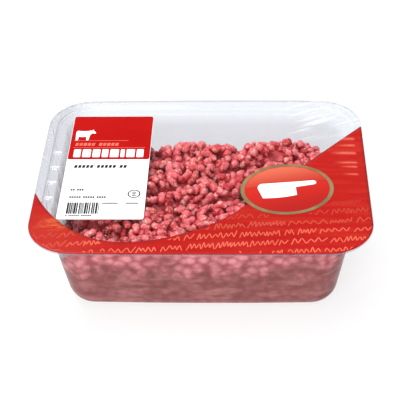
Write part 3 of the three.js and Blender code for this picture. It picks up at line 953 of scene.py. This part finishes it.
# %% The film's shape
def film_height(points):
    """The film's upper face, from the weld on the flange to the flat middle."""
    inside = depth_inside(points, 0.0)[0]
    x, y = points[:, 0] / mm, points[:, 1] / mm
    lifted = smooth_step(3.5 * mm, 11 * mm, inside)
    at_end = smooth_step(70, 82, np.abs(x)) * smooth_step(5 * mm, 9 * mm, inside)
    crease = np.sin(y * 2 * math.pi / 7.3 + 0.6 * np.sin(y / 5) + np.sign(x)) * at_end
    from_x, from_y = np.abs(x) - 44, np.abs(y) - 22
    angle, far = np.arctan2(from_y, from_x), np.hypot(from_x, from_y)
    in_fan = smooth_step(24, 40, far) * (1 - smooth_step(58, 66, far)) * (angle > 0) * lifted
    fan = np.sin(angle * 26) * in_fan
    # The label keeps the film under it flat.
    free = 1 - smooth_step(-84, -78, x) * (1 - smooth_step(-32, -27, x)) * (y > -46) * (y < 58)
    lift = 0.28 * lifted - (0.06 * (1 + crease) * at_end + 0.05 * (1 + fan)) * lifted * free
    return film_z + (lift - 0.02) * mm


film_outline = ring(0.25 * mm)
# Rings lie close together near the weld and wider apart towards the middle.
towards_middle = [np.linspace(0, 0.12, 13), np.linspace(0.14, 0.36, 14), np.linspace(0.4, 0.98, 16)]
film_plans = [film_outline * shrink for shrink in 1 - np.concatenate(towards_middle)]
over_rings = [np.column_stack([plan, film_height(plan)]) for plan in film_plans]
under_rings = [np.column_stack([plan, film_height(plan) - film_sheet]) for plan in film_plans]
film_points, film_faces = loft(under_rings[::-1] + over_rings)


def film_cloud(finish):
    """Next to none, apart from pale lines that fan out of the rear right corner: painted highlights of the
    creases there.
    """
    from_x, from_y = finish.axis(0) / mm - 84, finish.axis(1) / mm - 58
    corner = 1 - (from_x * from_x + from_y * from_y).step(150, 2200)
    # Painted highlights along the corner's creases.
    drawn = corner * streaks(finish, -0.42, 620).step(0.57, 0.72)
    return 0.001 + 0.002 * finish.noise(40, 3, 0.5) + drawn * 0.45


def film_cloud_tint(finish):
    return finish.blend(colour(236, 240, 246), colour(250, 250, 250), finish.noise(90, 2, 0.5))


def film_ripple(finish):
    return finish.noise(45, 2, 0.45, stretch=(1, 0.35, 1)) + 0.05 * finish.noise(500, 2, 0.5)


film_finish = clear_sheet(
    "clear lid film", (0.985, 0.988, 0.99, 1), film_cloud, film_cloud_tint, film_ripple, 0.002, 0.04)
piece("film_sheet", film_points, film_faces, film_finish, ["lid_film"])

# %% [markdown]
# ## The red print
# Ink covers the front and the right of the film in one sweep. It is a thin sheet that follows the
# film, cut along a curve. Film and flange show through it faintly, so it keeps a trace of
# transparency, and its colour drifts towards orange in a painted reflection where light catches
# the front left corner.

# %% The print's outline
def bezier(points, steps=40):
    """A cubic curve as a list of points."""
    p = np.array(points, float)
    t = np.linspace(0, 1, steps)[:, None]
    return (1 - t) ** 3 * p[0] + 3 * t * (1 - t) ** 2 * p[1] + 3 * t ** 2 * (1 - t) * p[2] + t ** 3 * p[3]


sweep = np.vstack([
    bezier([(-98, -11), (-89, -36), (-70, -62.5), (-40, -62)]),
    bezier([(-40, -62), (-17, -61.5), (8.5, -48.9), (22.1, -34.2)])[1:],
    np.linspace((22.1, -34.2), (98, 47.7), 60)[1:],
]) * mm


def below_sweep(points):
    """True where the film is printed red."""
    return points[:, 1] < np.interp(points[:, 0], sweep[:, 0], sweep[:, 1])


def on_film(points, inset):
    return depth_inside(points, inset)[0] > 0


print_inset = 0.3 * mm
edge = ring(print_inset)
printed = below_sweep(edge)
first = int(np.flatnonzero(printed & ~np.roll(printed, 1))[0])
edge = np.roll(edge, -first, axis=0)[:int(printed.sum())]
inner_sweep = sweep[on_film(sweep, 0.8 * mm)]
red_outline = np.vstack([edge, inner_sweep[::-1]])
print("points in the print's outline:", len(red_outline))

# %% The print's sheet
spacing, lift, thick = 2.2 * mm, 0.03 * mm, 0.02 * mm
only_inside, merge_within = 1, 1e-7
spans = zip(red_outline.min(axis=0), red_outline.max(axis=0))
grid = np.stack(np.meshgrid(*(np.arange(low, high, spacing) for low, high in spans)), axis=-1).reshape(-1, 2)
near_edge = np.min([np.linalg.norm(grid - p, axis=1) for p in red_outline], axis=0) <= 0.6 * spacing
filling = grid[below_sweep(grid) & on_film(grid, print_inset) & ~near_edge]
count = len(red_outline)
border = [(k, (k + 1) % count) for k in range(count)]
plan = [Vector(p) for p in np.vstack([red_outline, filling])]
made = geometry.delaunay_2d_cdt(plan, border, [], only_inside, merge_within)
flat = np.array([tuple(v) for v in made[0]])
triangles = [tuple(f) for f in made[2]]
top = film_height(flat) + lift
red_points = np.vstack([np.column_stack([flat, top]), np.column_stack([flat, top - thick])])
count = len(flat)
directed = {(f[k], f[(k + 1) % 3]) for f in triangles for k in range(3)}
sides = [(b, a, a + count, b + count) for a, b in directed if (b, a) not in directed]
red_faces = triangles + [tuple(v + count for v in f[::-1]) for f in triangles] + sides
print("triangles on the print's upper face:", len(triangles))

# %% The finish of the red ink
red = Finish("red print")
x, y = red.axis(0) / mm, red.axis(1) / mm
drift = red.noise(22, 3, 0.5)
base = red.blend(colour(172, 18, 14), colour(180, 22, 17), x.step(10, 90))
brushed = red.noise(260, 3, 0.6, stretch=(0.07, 1, 1)).step(0.42, 0.72)
base = red.blend(base, colour(206, 56, 40), brushed * (0.12 + 0.3 * x.step(-30, 40)))
# Painted reflection: an orange sheen and glints at the front left corner, where light catches the film.
warm = (1 - x.step(-85, -35)) * (1 - y.step(-60, -20)) * (drift * 1.4).step(0.3, 0.9)
base = red.blend(base, colour(184, 50, 36), warm * 0.6)
glow = 1 - ((x + 80) * (x + 80) * 0.02 + (y + 47) * (y + 47) * 0.05).step(-0.4, 2.6)
flecks = red.noise(420, 3, 0.6, stretch=(0.35, 1, 1)).step(0.36, 0.62)
base = red.blend(base, colour(236, 128, 72), glow * flecks * (0.15 + 0.7 * drift))

# Painted highlights of the tray's ribs show through the print on the right as soft lines: middle, width and
# left end.
rib_lines = ((31, 1.1, 79), (24.5, 0.9, 82), (17, 1.2, 78), (8, 0.9, 80), (4, 0.8, 83), (-3, 0.8, 84))
painted_rib_highlight = 0
for middle, width, left in rib_lines:
    off = (y - middle) / width
    painted_rib_highlight = painted_rib_highlight + 2.718 ** (off * off * -1) * x.step(left - 5, left + 5) * (1 - x.step(88.5, 90.5))
base = red.blend(base, colour(238, 128, 104), painted_rib_highlight * (0.35 + 0.5 * red.noise(500, 2, 0.5)))

red_surface = red.bump(red.noise(70, 2, 0.5) + 0.04 * red.noise(1400, 2, 0.5), 0.0006, 0.4)
ink = red.principled(Base_Color=base, Roughness=0.3, Specular_IOR_Level=0.14, Normal=red_surface)
red_finish = red.show(red.mix(red.clear((1.0, 0.75, 0.72, 1)), ink, 0.94))
piece("red_print", red_points, red_faces, red_finish, ["red_field"])

# %% [markdown]
# ## The scribble pattern
# Rows of light strokes run across the red. They stand for no words: each group is a loose zigzag
# with a random size and lean. Rows rise to the right and fade towards the badge. Flat ribbons on
# the film carry them, and each point stores how strong its stroke is.

# %% Scribbles
def ribbon(line, width):
    """A flat ribbon along a line of points: left and right edges in turn."""
    way = np.gradient(line, axis=0)
    way /= np.maximum(np.linalg.norm(way, axis=1), 1e-12)[:, None]
    side = np.column_stack([-way[:, 1], way[:, 0]]) * width / 2
    points = np.empty((2 * len(line), 2))
    points[0::2], points[1::2] = line + side, line - side
    faces = [(2 * k, 2 * k + 1, 2 * k + 3, 2 * k + 2) for k in range(len(line) - 1)]
    return points, faces


badge_middle = np.array([48.5, -16.5]) * mm
badge_half = np.array([26.5, 22.5]) * mm
badge_turn = 0.16
clear_of_badge = 1.5 * mm
row_slope = 0.08


def outside_badge(points):
    cos, sin = math.cos(badge_turn), math.sin(badge_turn)
    local = (points - badge_middle) @ np.array([[cos, -sin], [sin, cos]])
    return ((local / (badge_half + clear_of_badge)) ** 2).sum(axis=1) > 1


def scribble_line(draw, x0, x1, level):
    """A loose zigzag between two places, in millimetres, with uneven peaks."""
    corners, x, high = [(x0, 0.0)], x0, True
    tall, wide, lean = draw.uniform(4.2, 5.8), draw.uniform(0.9, 2.2), draw.uniform(-0.4, 1.2)
    while x < x1:
        x += wide * draw.uniform(0.6, 1.5)
        peak = tall * draw.uniform(0.75, 1.05) if high else draw.uniform(-0.4, 0.2 * tall)
        corners.append((x + (lean if high else 0), peak))
        high = not high
    fine = np.arange(0, len(corners) - 1 + 1e-9, 0.25)
    line = np.column_stack([np.interp(fine, np.arange(len(corners)), part) for part in zip(*corners)])
    line[1:-1] = (line[:-2] + 2 * line[1:-1] + line[2:]) / 4
    return np.column_stack([line[:, 0], level + line[:, 1] + row_slope * line[:, 0]])


def scribbles():
    """Plan, faces and strength of all ribbons; each row has its own level and strength."""
    draw = np.random.default_rng(5)
    points, faces, strengths = [], [], []
    rows = [(-75.5, 1.0), (-67.8, 1.0), (-60.1, 0.85), (-52.4, 0.6), (-44.7, 0.38), (-37.0, 0.2)]
    for level, strength in rows:
        x = -93.0
        while x < 92:
            wide = draw.uniform(4, 22)
            line = scribble_line(draw, x, x + wide, level) * mm
            x += wide + draw.uniform(2.0, 3.0)
            kept = below_sweep(line + [0, 1.2 * mm]) & on_film(line, 1.2 * mm) & outside_badge(line)
            for run in np.split(np.arange(len(line)), np.flatnonzero(np.diff(kept.astype(int))) + 1):
                if not kept[run[0]] or len(run) < 4:
                    continue
                flat, quads = ribbon(line[run], 0.6 * mm)
                start = sum(len(p) for p in points)
                points.append(flat)
                faces += [tuple(v + start for v in q) for q in quads]
                corner = 1 - 0.45 * (1 - smooth_step(-90 * mm, -60 * mm, line[run[0], 0]))
                strengths += [strength * corner * draw.uniform(0.8, 1.0)] * len(flat)
    return np.vstack(points), faces, strengths


scribble_plan, scribble_faces, strengths = scribbles()
scribble_points = np.column_stack([scribble_plan, film_height(scribble_plan) + 0.06 * mm])
light = Finish("light print")
worn = light.stored("strength") * (0.75 + 0.4 * light.noise(700, 2, 0.6))
pale = light.principled(Base_Color=colour(238, 112, 86), Roughness=0.35, Specular_IOR_Level=0.2)
light_finish = light.show(light.mix(light.clear((1, 1, 1, 1)), pale, worn))
scribble_piece = piece("scribbles", scribble_points, scribble_faces, light_finish)
store(scribble_piece, "strength", strengths)

# %% [markdown]
# ## Badge and label
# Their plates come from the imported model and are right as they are, so they only get finishes:
# inks with a slight drift of colour, and label stock with a faint paper grain.

# %% Finishes for flat print
def ink_finish(name, main, other, amount, roughness=0.32, specular=0.2):
    """Printed ink with a fine orange-peel surface; amount says where the other colour shows."""
    finish = Finish(name)
    surface = finish.bump(finish.noise(1500, 2, 0.5), 0.0002, 0.3)
    shown = finish.blend(main, other, amount(finish))
    return finish.show(finish.principled(
        Base_Color=shown, Roughness=roughness, Specular_IOR_Level=specular, Normal=surface))


def drifts(scale):
    """Soft patches."""
    return lambda finish: finish.noise(scale, 3, 0.5).step(0.35, 0.65)


def up_badge(low, high):
    """A slope up the badge between two levels, in millimetres."""
    return lambda finish: (finish.axis(1) / mm + 0.25 * (48 - finish.axis(0) / mm)).step(low, high)


def refinish(node, material):
    """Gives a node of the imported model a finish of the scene's own."""
    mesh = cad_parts[node].data
    mesh.materials.clear()
    mesh.materials.append(material)


white_ink = ink_finish("white print", colour(255, 255, 255), colour(250, 248, 246), drifts(60))
flat_inks = {
    "badge_rim": ("gold print", (140, 122, 82), (116, 100, 62), drifts(90), 0.35, 0.4),
    "badge_face": ("badge red", (168, 20, 16), (198, 36, 24), up_badge(-40, -8), 0.3),
    "badge_glow": ("badge light", (188, 46, 32), (212, 104, 78), up_badge(-16, 6), 0.3),
    "label": ("label stock", (252, 252, 252), (247, 247, 248), drifts(120), 0.5, 0.3),
    "label_header": ("label red", (176, 14, 11), (170, 11, 9), drifts(50), 0.6, 0.05),
}
for node, (name, main, other, *rest) in flat_inks.items():
    refinish(node, ink_finish(name, colour(*main), colour(*other), *rest))
for node in ["badge_cleaver", "label_cow"] + [f"label_title_{k}" for k in range(1, 9)]:
    refinish(node, white_ink)
print("finishes for flat print:", len(flat_inks) + 1)

# %% [markdown]
# ## Small print on the label
# The label also carries small print and a code of bars. Nothing on it can be read: words are rows
# of slim blocks, and the bars have random widths.

# %% Small print
label_z = flange_z + 0.55 * mm


def block(x0, y0, x1, y1, z, lean=0.0, thick=0.05):
    """A slim box on the label in millimetres, leaning to the right by a part of its height."""
    shift = lean * (y1 - y0)
    plan = [(x0, y0), (x1, y0), (x1 + shift, y1), (x0 + shift, y1)]
    points = [(px * mm, py * mm, level) for level in (z, z + thick * mm) for px, py in plan]
    faces = [(3, 2, 1, 0), (4, 5, 6, 7), (0, 1, 5, 4), (1, 2, 6, 5), (2, 3, 7, 6), (3, 0, 4, 7)]
    return points, faces


def blocks(name, boxes, finish, instead_of=()):
    """One piece of many boxes."""
    points, faces = [], []
    for some_points, some_faces in boxes:
        start = len(points)
        points += some_points
        faces += [tuple(v + start for v in f) for f in some_faces]
    return piece(name, points, faces, finish, instead_of, smooth=False)


def word_row(x, y0, tall, groups, z=label_z, lean=0.15):
    """Groups of equal plain blocks, which stand for words and can't be read."""
    boxes = []
    for count in groups:
        for k in range(count):
            boxes.append(block(x, y0, x + 0.5 * tall, y0 + 0.78 * tall, z, lean))
            x += 0.68 * tall
        x += 0.5 * tall
    return boxes


draw = np.random.default_rng(31)
dark_ink = ink_finish("thermal print", colour(30, 30, 33), colour(16, 16, 18), drifts(300), 0.6, 0.1)
grey_ink = ink_finish("faint print", colour(96, 96, 98), colour(76, 76, 78), drifts(300), 0.6, 0.1)
blocks("name_row", word_row(-75.0, 2.8, 3.4, (5, 5, 2)), dark_ink, ["label_name_bar"])
rows = word_row(-74.6, -18.2, 2.0, (2, 3), lean=0) + word_row(-74.6, -24.8, 2.0, (5, 5, 4), lean=0)
blocks("small_print", rows, dark_ink)
faint = [block(-55.6, -29.9, -46.6, -28.9, label_z), block(-42.2, -29.9, -35.0, -28.9, label_z)]
blocks("faint_print", faint, grey_ink)

bars, x = [], -75.0
while x < -57.2:
    wide = draw.choice([0.4, 0.75, 1.1], p=[0.45, 0.35, 0.2])
    bars.append(block(x, -38.6, x + wide, -28.8, label_z))
    x += wide + draw.choice([0.25, 0.45, 0.7], p=[0.55, 0.3, 0.15])
bars += word_row(-75.0, -40.6, 1.5, (1, 6, 6), lean=0)
blocks("bar_code", bars, dark_ink)

t = np.linspace(0, 2 * math.pi, 41)
oval = np.column_stack([-38.1 + 3.3 * np.cos(t), -21.1 + 3.3 * np.sin(t)]) * mm
oval_plan, oval_faces = ribbon(oval, 0.75 * mm)
oval_points = np.column_stack([oval_plan, np.full(len(oval_plan), label_z + 0.04 * mm)])
piece("stamp_ring", oval_points, oval_faces, dark_ink, smooth=False)
marks = [block(-39.2, -21.5 + 1.5 * k, -37.0, -20.7 + 1.5 * k, label_z) for k in (-1, 0, 1)]
blocks("stamp_marks", marks, dark_ink)

pink_ink = ink_finish("pale header print", colour(240, 112, 96), colour(232, 96, 82), drifts(200), 0.45)
header_z = label_z + 0.1 * mm
header = [block(-77.6, 29.0, -45, 29.3, header_z), block(-77.6, 22.0, -34.6, 22.3, header_z)]
header += word_row(-76.6, 24.0, 3.6, (5, 5), header_z)
blocks("header_lines", header, pink_ink)

# %% [markdown]
# ## Floor, light and camera
# The pack stands on a plain pale floor under a broad soft light and a smaller one from the rear
# left, with softer fill from the front. The camera stands where the photographer did.

# %% Floor
floor_look = Finish("pale floor")
greys = floor_look.blend((0.30, 0.30, 0.305, 1), (0.32, 0.32, 0.32, 1), floor_look.noise(6, 2, 0.5))
reach = 4.0
corners = [(-reach, -reach, 0), (reach, -reach, 0), (reach, reach, 0), (-reach, reach, 0)]
floor_mesh = bpy.data.meshes.new("floor")
floor_mesh.from_pydata(corners, [], [(0, 1, 2, 3)])
floor_mesh.materials.append(floor_look.show(floor_look.principled(
    Base_Color=greys, Roughness=0.9, Specular_IOR_Level=0.1,
    Emission_Color=(1, 1, 1, 1), Emission_Strength=0.75)))
floor = in_scene("floor", floor_mesh)
floor.location.z = -0.3 * mm
floor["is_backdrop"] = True
print(f"floor: {2 * reach:.0f} m wide")

# %% Lights
def soft_light(name, place, aim, size, watts):
    lamp = bpy.data.lights.new(name, "AREA")
    lamp.shape = "SQUARE"
    lamp.size = size
    lamp.energy = watts
    made = in_scene(name, lamp)
    made.location = place
    made.rotation_euler = (Vector(aim) - Vector(place)).to_track_quat("-Z", "Y").to_euler()


soft_light("top_light", (-0.1, 0.0, 1.1), (0, 0, 0), 1.1, 7.5)
soft_light("key_light", (-0.35, 0.3, 0.9), (0, 0, 0.05), 0.3, 4.5)
soft_light("front_light", (-0.5, -1.2, 0.55), (0, 0, 0.03), 0.9, 11)
world = bpy.data.worlds.new("studio")
world.use_nodes = True
background = world.node_tree.nodes["Background"].inputs
background["Color"].default_value = (0.95, 0.97, 1, 1)
background["Strength"].default_value = 0.45
bpy.context.scene.world = world
bpy.context.scene.view_settings.view_transform = "Standard"
print("lights:", ", ".join(sorted(lamp.name for lamp in bpy.data.lights)))

# %% Camera
def from_angles(elevation, yaw, roll):
    """Right, up and back of a camera, from its height angle, its turn and its tilt in degrees."""
    e, a, r = (math.radians(v) for v in (elevation, yaw, roll))
    back = Vector((math.sin(a) * math.cos(e), -math.cos(a) * math.cos(e), math.sin(e)))
    level = Vector((math.cos(a), math.sin(a), 0))
    above = back.cross(level)
    return level * math.cos(r) + above * math.sin(r), above * math.cos(r) - level * math.sin(r), back


right, up, back = from_angles(elevation=39.547, yaw=2.899, roll=-1.861)
aim = Vector((-0.58, -25.92, 58)) * mm
distance = 0.6672
spot = aim + back * distance
lens = bpy.data.cameras.new("camera")
lens.sensor_width = 36
lens.lens = 106.86
camera = in_scene("camera", lens)
camera.matrix_world = Matrix.Translation(spot) @ Matrix((right, up, back)).transposed().to_4x4()
bpy.context.scene.camera = camera
print(f"camera {spot.length:.2f} m away, lens {lens.lens:.0f} mm")

visual_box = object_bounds()
[[list(map(float, corner)) for corner in box] for box in (cad_box, visual_box)]
print("visual box:", [[round(v / mm, 1) for v in corner] for corner in visual_box])
